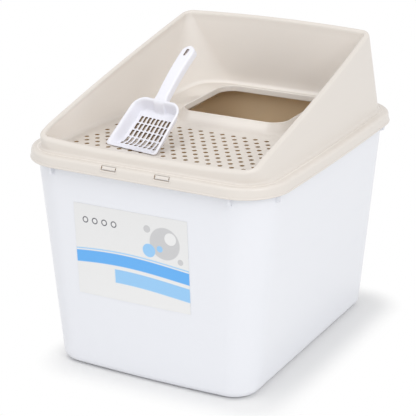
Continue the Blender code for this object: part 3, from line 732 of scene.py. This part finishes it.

# %% [markdown]
# ## Snap hooks
# Two tongues in the front of the skirt click over the tub's flange. Each is cut free by a slot on
# three sides, which shows as a thin dark U, wider at the left; its walls carry painted shade. The
# slot is a prism whose outline is that U. A low rounded bead frames each hook: its path is a
# rounded rectangle on the skirt, and the skirt's own section gives its depth.

# %% Snap hooks
hook_height, slot_height, hook_drop = 0.0060, 0.0015, 0.0003
hook_left, hook_right = np.array([-0.0122, -0.0101]), np.array([0.0108, 0.0120])
tongue_low = slot_height - hook_height
hook_outline = np.array([[hook_left[0], 0.0], [hook_left[1], 0.0], [hook_left[1], tongue_low],
                         [hook_right[0], tongue_low], [hook_right[0], 0.0], [hook_right[1], 0.0],
                         [hook_right[1], -hook_height], [hook_left[0], -hook_height]])
hook_side = np.array([-0.043, 0.043])
hook_top = shoulder - hook_drop
hook_depth = np.array([-lid_end - 0.0045, -lid_end + 0.0045])
hook_rings = np.zeros((2, 2, 8, 3))
hook_rings[..., 0] = hook_side[:, None, None] + hook_outline[None, None, :, 0]
hook_rings[..., 1] = hook_depth[None, :, None]
hook_rings[..., 2] = hook_top + hook_outline[None, None, :, 1]
cut(lid, prisms("hook_cutters", hook_rings))
margin = 0.0001
# The walls of the hook slots are marked for the painted shade, which darkens the U.
dark_faces = [mark_cuts(lid, (side + hook_left[0] - margin, -lid_end - 0.001, hook_top - hook_height - margin),
                        (side + hook_right[1] + margin, -0.230, hook_top + margin), upright=1)
              for side in hook_side]
print("Lid after cutting:", len(lid.data.polygons), "faces, dark ones", dark_faces)

# %% Frames of the hooks


def skirt_front(height):
    """y of the skirt's front: a slight lean below the shoulder's quarter round, then that round."""
    below = height - shoulder
    lean = bead * (1 + np.clip((below + straight_height) / (straight_height - shoulder_round), 0.0, 1.0))
    climb = np.clip((below + shoulder_round) / shoulder_round, 0.0, 0.99)
    return -(lid_end - lean - shoulder_round * (1 - np.sqrt(1 - climb ** 2)))


frame_sides = 10
frame_path = outline(0.0140, 0.0044, 0.0044, 0.0030)
frame_out = frame_path - outline(0.0130, 0.0034, 0.0034, 0.0020)
frame_turn = np.linspace(0.0, 2 * np.pi, frame_sides, endpoint=False)
frame_flat = frame_path[:, None] + frame_out[:, None] * 0.95 * np.cos(frame_turn)[None, :, None]
frame_points = np.zeros((2, len(frame_path), frame_sides, 3))
frame_points[..., 0] = hook_side[:, None, None] + frame_flat[None, ..., 0]
frame_points[..., 2] = np.minimum(hook_top - 0.0032 + frame_flat[None, ..., 1], hook_top)
frame_points[..., 1] = skirt_front(frame_points[..., 2]) - 0.0007 * np.sin(frame_turn)
frame_faces = grid_faces(len(frame_path), frame_sides, wrap_rows=True)
frame_all = np.concatenate([frame_faces, frame_faces + len(frame_path) * frame_sides])
hook_frames = new_object("hook_frames", frame_points, frame_all.tolist())
print("Frames:", len(hook_frames.data.polygons), "faces")

# %% [markdown]
# Thin polypropylene lets some light through, so the inner side of the splash wall and the throat of
# the opening get painted light: a lighter beige, strongest at the front and stopping short of the rim.
# A point attribute, 1 where the normal turns towards the middle of the lid, mixes it into the beige.

# %% Painted light on the inner walls
place, normal = vectors(lid.data.vertices, "co"), vectors(lid.data.vertices, "normal")
turned_in = -np.sum(place[:, :2] * normal[:, :2], axis=1) / np.linalg.norm(place[:, :2], axis=1)
painted_inner_light = ramp(turned_in, 0.10, 0.45) * ramp(place[:, 2], deck + 0.001, deck + 0.008)
painted_inner_light *= 0.56 + 0.44 * ramp(-place[:, 1], -0.02, 0.14)
painted_inner_light *= ramp(rim_height(place[:, 0], place[:, 1]) - place[:, 2], 0.0, 0.009)
lid.data.attributes.new("painted_inner_light", "FLOAT", "POINT").data.foreach_set("value", painted_inner_light)
painted_light_tint(beige, "painted_inner_light", (0.98, 0.940, 0.895))
print("Inner points of the lid:", int((painted_inner_light > 0.5).sum()))

# %% [markdown]
# ## The scoop
# The blade is a tray pressed from one surface: a height over a plan, where the plan is a rectangle
# with rounded rear corners. The floor falls behind the lip and rises to the side and rear walls,
# and a rounded rim runs round the top of the walls. The handle is a U-shaped channel carried along
# a gentle bend, and its root runs down the rear wall as a shallow wedge. Both are grids of two
# parameters.

# %% Scoop blade
blade_half, blade_length, blade_corner, blade_depth = 0.0475, 0.092, 0.020, 0.0165
blade_wall, floor_extra = 0.0015, 0.0024
blade_taper = 0.004
lip_corner, lip_run = 0.0055, 0.028
rim_bead, rim_middle = 0.0007, 0.0020


def lip_cut(y):
    """How far the rounded front corners draw the sides in: r - sqrt(r^2 - (r - y)^2)."""
    return lip_corner - np.sqrt(lip_corner ** 2 - np.clip(lip_corner - y, 0.0, lip_corner) ** 2)


def edge_distance(x, y):
    """Distance inwards from the rim: min over straight sides, r - |p - c| in a rounded corner."""
    half = blade_half - blade_taper * y / blade_length - lip_cut(y)
    side = np.abs(x) - (half - blade_corner)
    rear = y - (blade_length - blade_corner)
    corner = blade_corner - np.hypot(np.maximum(side, 0.0), np.maximum(rear, 0.0))
    return np.where((side > 0) & (rear > 0), corner, np.minimum(half - np.abs(x), blade_length - y))


def blade_height(x, y):
    """Minus depth * sin(pi/2 * y / lip_run) * smooth step of the distance from the rim, plus a rounded rim."""
    fall = blade_depth * np.sin(np.pi / 2 * np.clip(y / lip_run, 0.0, 1.0))
    edge = edge_distance(x, y)
    wedge = ramp(0.0115 - np.abs(x), 0.0, 0.0035) * ramp(y, 0.070, 0.084)
    band = rim_bead * (1 - np.clip(np.abs(edge - rim_middle) / rim_middle, 0.0, 1.0) ** 2) * ramp(y, 0.002, 0.014)
    return band - fall * ramp(edge, 0.0034, 0.0112 + 0.0065 * wedge)


rear_start = blade_length - blade_corner
along = np.concatenate([lip_corner * (1 - np.cos(np.linspace(0.0, np.pi / 2, 7)))[:-1],
                        np.linspace(lip_corner, rear_start, 56)[:-1],
                        blade_length - blade_corner * (1 - np.sin(np.linspace(0.0, np.pi / 2, 30)))])
even = np.linspace(-1.0, 1.0, 97)
spread = 0.65 * even + 0.35 * np.sin(np.pi / 2 * even)
into = np.clip(along - rear_start, 0.0, blade_corner)
half_at = blade_half - blade_taper * along / blade_length - lip_cut(along) \
    - (blade_corner - np.sqrt(blade_corner ** 2 - into ** 2))
grid_x = half_at[:, None] * spread[None, :]
grid_y = np.repeat(along[:, None], len(spread), axis=1)
top = np.stack([grid_x, grid_y, blade_height(grid_x, grid_y)], axis=2)
thick = blade_wall + floor_extra * ramp(grid_y, 0.029, 0.038) * ramp(0.080 - grid_y, 0.0, 0.004) \
    * ramp(blade_half - np.abs(grid_x), 0.012, 0.016)
scoop = two_sided("scoop_moulding", top, top - thick[..., None] * np.array([0.0, 0.0, 1.0]))
print("Blade:", len(scoop.data.polygons), "faces")

# %% Scoop handle
handle_root, neck, handle_tip = 0.0860, 0.0904, 0.193
handle_half, handle_swell, handle_flare = 0.0100, 0.0015, 0.0016
handle_depth, handle_wall, handle_least = 0.011, 0.0022, 0.0004
tip_round, edge_round = 0.0115, 0.0030


def handle_sections(s):
    """One U-shaped section for each s: half width w(s), arch 16 t - 13 t^2 mm, rounded outer corners."""
    t = np.clip(s - neck, 0.0, None) / (handle_tip - neck)
    past = np.clip(s - (handle_tip - tip_round), 0.0, tip_round)
    taper = np.sqrt(np.maximum(tip_round ** 2 - past ** 2, 0.0)) / tip_round
    half = (handle_half + handle_swell * t) * taper + handle_flare * (1 - ramp(s, neck, 0.1000))
    half = np.maximum(half, handle_least)
    round_in = tip_round - handle_wall
    past_in = np.clip(s - (handle_tip - tip_round), 0.0, round_in)
    half_in = np.where(past > 0, np.sqrt(np.maximum(round_in ** 2 - past_in ** 2, 0.0)), half - handle_wall)
    half_in = np.clip(half_in, handle_least / 2, None)
    solid = (s < 0.0950) | (s > handle_tip - handle_wall - 0.0002)
    inner_top = np.where(solid, -handle_depth + 0.0001, -handle_wall)
    corner = np.minimum(edge_round, half * 0.8)
    turn = np.linspace(0.0, np.pi / 2, 7)
    right_x = (half - corner)[:, None] + corner[:, None] * np.cos(turn)
    right_z = -corner[:, None] + corner[:, None] * np.sin(turn)
    floor_z = np.full((len(s), 1), -handle_depth)
    x = np.concatenate([half[:, None], right_x, -right_x[:, ::-1], -half[:, None],
                        -half_in[:, None], -half_in[:, None], half_in[:, None], half_in[:, None]], axis=1)
    z = np.concatenate([floor_z, right_z, right_z[:, ::-1], floor_z,
                        floor_z, inner_top[:, None], inner_top[:, None], floor_z], axis=1)
    arch = 0.0007 + 0.016 * t - 0.013 * t ** 2 - 0.0030 * (1 - ramp(s, handle_root, 0.0925))
    return np.stack([x, np.broadcast_to(s[:, None], x.shape), z + arch[:, None]], axis=2)


handle_s = np.concatenate([np.linspace(handle_root, 0.1044, 18)[:-1],
                           np.linspace(0.1044, handle_tip - tip_round, 30)[:-1],
                           handle_tip - tip_round * (1 - np.sin(np.linspace(0.0, np.pi / 2, 18)))])
handle = skin("scoop_handle", handle_sections(handle_s)[:, ::-1], closed=False)
print("Handle:", len(handle.data.polygons), "faces")

# %% [markdown]
# ## Slots of the scoop
# Clean litter runs out through a grid of slots with slightly rounded ends. Each outline is a super
# ellipse; the columns fan out a little towards the lip, so the spacing is a function of the row.

# %% Scoop slots
slot_sides = 16
slot_rows, slot_columns = 5, 8


def slot_outline(width, length):
    """Super ellipse |2x/w|^6 + |2y/l|^6 = 1, which is nearly a rectangle."""
    angle = (np.arange(slot_sides) + 0.5) * 2 * np.pi / slot_sides
    across, up = np.cos(angle), np.sin(angle)
    return np.column_stack([width / 2 * np.sign(across) * np.abs(across) ** (1 / 3),
                            length / 2 * np.sign(up) * np.abs(up) ** (1 / 3)])


def slot_cutter(name, outlines, low, high):
    """Upright prisms on an array of outlines (slot, side, 2), from one height to another."""
    rings = [np.concatenate([outlines, np.full(outlines.shape[:2] + (1,), level)], axis=2)
             for level in (low, high)]
    return prisms(name, np.stack(rings, axis=1))


slot_row = np.arange(slot_rows)
slot_length = np.where(slot_row == 0, 0.0046, 0.0112)
slot_y = np.where(slot_row == 0, 0.0145, 0.0232 + (slot_row - 1) * 0.0131)
slot_pitch = 0.0074 + 0.0012 * (slot_rows - 1 - slot_row) / (slot_rows - 1)
slot_x = (np.arange(slot_columns)[None, :] - (slot_columns - 1) / 2) * slot_pitch[:, None]
slot_places = np.stack([slot_x, np.broadcast_to(slot_y[:, None], slot_x.shape)], axis=2)
slot_shapes = np.stack([slot_outline(0.0052, length) for length in slot_length])
slots = (slot_shapes[:, None] + slot_places[:, :, None]).reshape(-1, slot_sides, 2)
cut(scoop, slot_cutter("slot_cutters", slots, -0.030, 0.004))
hang = slot_outline(0.0050, 0.0135) + np.array([0.0, 0.1797])
cut(handle, slot_cutter("hang_cutter", hang[None], -0.020, 0.020))
# The walls of the slots are marked for the painted shade.
dark_faces = mark_cuts(scoop, (-0.034, 0.0105, -0.030), (0.034, 0.0775, -0.002)), \
    mark_cuts(handle, (-0.0026, 0.1725, -0.0015), (0.0026, 0.1868, 0.0045))
print("Slots:", len(slots), "with", dark_faces, "dark faces")

# %% [markdown]
# ## Standing the scoop on the deck
# In its own frame the scoop lies flat with its lip at the origin. Two rotations and a shift stand
# it up: tilted so that the floor behind the lip lies on the deck, then turned a little. The shift
# goes into the points, so the object itself stays at the origin as the model's own nodes do.

# %% Scoop placed
scoop_turn, scoop_tilt = np.radians(-8.4), np.radians(38.9)
stand = Matrix.Rotation(scoop_turn, 4, "Z") @ Matrix.Rotation(scoop_tilt, 4, "X")
lowest = min((stand @ corner.co).z for corner in scoop.data.vertices)
lip_place = (-0.0748, -0.1253, deck + 0.0003 - lowest)
for piece in (scoop, handle):
    piece.data.transform(Matrix.Translation(lip_place) @ stand)
print("Lip at", np.round(lip_place, 4).tolist())

# %% [markdown]
# ## The label
# The label is a sheet of glossy paper on the front wall. It must follow the wall, which leans and
# bows, so its points take their depth from the same taper as the tub. Its own UV map runs from 0 to
# 1 across and up, which makes the printed design easy to lay out.

# %% Label sheet
label_width, label_height, label_turn = 0.187, 0.142, np.radians(0.6)
label_centre_x, label_centre_z = -0.0168, 0.1955
label_gap, label_thickness = 0.0002, 0.0003
label_u, label_v = np.meshgrid(np.linspace(0.0, 1.0, 49), np.linspace(0.0, 1.0, 37))
label_side = (label_u - 0.5) * label_width
label_rise = (label_v - 0.5) * label_height
label_x = label_centre_x + label_side * np.cos(label_turn) - label_rise * np.sin(label_turn)
label_z = label_centre_z + label_side * np.sin(label_turn) + label_rise * np.cos(label_turn)
taper = label_z / tub_rim
half_there = base_half + taper * (mouth_half - base_half)
wall_y = -((1 - taper) * (base_end + base_bow * (1 - (label_x / half_there) ** 2)) + taper * mouth_end)
label_back = np.stack([label_x, wall_y - label_gap, label_z], axis=2)
label = two_sided("label_sheet", label_back - np.array([0.0, label_thickness, 0.0]), label_back)
label_map = label.data.uv_layers.new(name="sheet")
loop_point = np.zeros(len(label.data.loops), int)
label.data.loops.foreach_get("vertex_index", loop_point)
point_uv = np.column_stack([np.tile(label_u.ravel(), 2), np.tile(label_v.ravel(), 2)])
label_map.data.foreach_set("uv", point_uv[loop_point].ravel())
print("Label:", len(label.data.polygons), "faces")

# %% [markdown]
# ## The printed design
# The print is laid out with masks on the label's UV map: a group gives a soft-edged ellipse, and
# plain bands come from comparing v with a gentle wave. Loose round bubbles fill the upper part. The
# inks are two blues, a soft grey and a dark grey on white paper.

# %% Ellipse group
ellipse, ellipse_in, ellipse_out = new_group(
    "soft_ellipse", {"U": 0.5, "V": 0.5, "Half width": 0.1, "Half height": 0.1}, "Mask")
ellipse_uv = add_node(ellipse, "ShaderNodeSeparateXYZ",
                      {0: add_node(ellipse, "ShaderNodeUVMap", uv_map="sheet").outputs[0]}).outputs
squares = []
for axis in (0, 1):
    offset = math_node(ellipse, "SUBTRACT", ellipse_uv[axis], ellipse_in[axis])
    ratio = math_node(ellipse, "DIVIDE", offset, ellipse_in[axis + 2])
    squares.append(math_node(ellipse, "MULTIPLY", ratio, ratio))
ellipse.links.new(step_node(ellipse, math_node(ellipse, "ADD", *squares), 1.06, 0.94), ellipse_out)
print("Group", ellipse.name)

# %% Label material
paper = bpy.data.materials.new("label_paper")
paper.use_nodes = True
sheet = paper.node_tree
sheet_u, sheet_v = add_node(sheet, "ShaderNodeSeparateXYZ",
                            {0: add_node(sheet, "ShaderNodeUVMap", uv_map="sheet").outputs[0]}).outputs[:2]


def wave_band(low, high, start=-1.0):
    """Mask of low < v - 0.05 sin(3 u + 0.4) < high, right of start, with a narrow soft edge."""
    bend = math_node(sheet, "SINE", math_node(sheet, "MULTIPLY_ADD", sheet_u, 3.0, 0.4))
    line = math_node(sheet, "MULTIPLY_ADD", bend, -0.05, sheet_v)
    above = step_node(sheet, line, low - 0.004, low + 0.004)
    below = step_node(sheet, line, high + 0.004, high - 0.004)
    right = step_node(sheet, sheet_u, start, start + 0.006)
    return math_node(sheet, "MULTIPLY", math_node(sheet, "MULTIPLY", above, below), right)


white_paper, paper_shade = (0.835, 0.835, 0.835), (0.80, 0.80, 0.80)
deep_blue, light_blue = (0.13, 0.44, 0.90), (0.32, 0.60, 0.91)
soft_grey, dark_grey = (0.60, 0.60, 0.61), (0.13, 0.13, 0.15)
inks = [(wave_band(0.14, 0.29, 0.34), light_blue), (wave_band(0.33, 0.46), deep_blue),
        (wave_band(0.475, 0.487), light_blue)]
for ring in range(4):
    for half_width, half_height, ink in ((0.026, 0.035, dark_grey), (0.017, 0.023, white_paper)):
        inks.append((use_group(sheet, ellipse, 0.10 + 0.085 * ring, 0.83, half_width, half_height), ink))
for u, v, size, ink in ((0.80, 0.72, 0.130, soft_grey), (0.66, 0.62, 0.055, light_blue),
                        (0.93, 0.55, 0.024, soft_grey), (0.65, 0.85, 0.030, soft_grey),
                        (0.85, 0.78, 0.050, white_paper), (0.755, 0.655, 0.026, light_blue)):
    inks.append((use_group(sheet, ellipse, u, v, size, size * 1.32), ink))
print_colour = mix_colour(sheet, sheet_v, white_paper, paper_shade)
for mask, ink in inks:
    print_colour = mix_colour(sheet, mask, print_colour, ink)
paper_shader = sheet.nodes["Principled BSDF"]
sheet.links.new(print_colour, paper_shader.inputs["Base Color"])
paper_rough = math_node(sheet, "MULTIPLY_ADD", use_group(sheet, marks, 6.0, 1.0), 0.12, 0.30)
sheet.links.new(paper_rough, paper_shader.inputs["Roughness"])
paper_bump = add_node(sheet, "ShaderNodeBump", {"Strength": 0.08, "Distance": 0.0001,
                                                "Height": use_group(sheet, grain, 1600.0, 20.0)})
sheet.links.new(paper_bump.outputs[0], paper_shader.inputs["Normal"])
print("Label material with", len(sheet.nodes), "nodes")

# %% [markdown]
# ## Putting it together
# Every piece rides on the body that carries it, stands in for the model's own node, and takes its
# material. The tub shell and its gussets share the tub's node.

# %% Finish
for piece, body, nodes, slot, look in ((tub, "tub", ("tub",), "white_plastic", tub_white),
                                       (gussets, "tub", (), "white_plastic", tub_white),
                                       (lid, "lid", ("lid",), "beige_plastic", beige),
                                       (hook_frames, "lid", (), "beige_plastic", beige),
                                       (scoop, "scoop", ("scoop",), "scoop_plastic", scoop_white),
                                       (handle, "scoop", (), "scoop_plastic", scoop_white),
                                       (label, "tub", ("label",), "label_paper", paper)):
    piece.data.materials.clear()
    piece.data.materials.append(look)
    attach(piece, body)
    if nodes:
        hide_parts(*nodes)
    print(piece.name, "rides on", body, "with", len(piece.data.polygons), "faces")
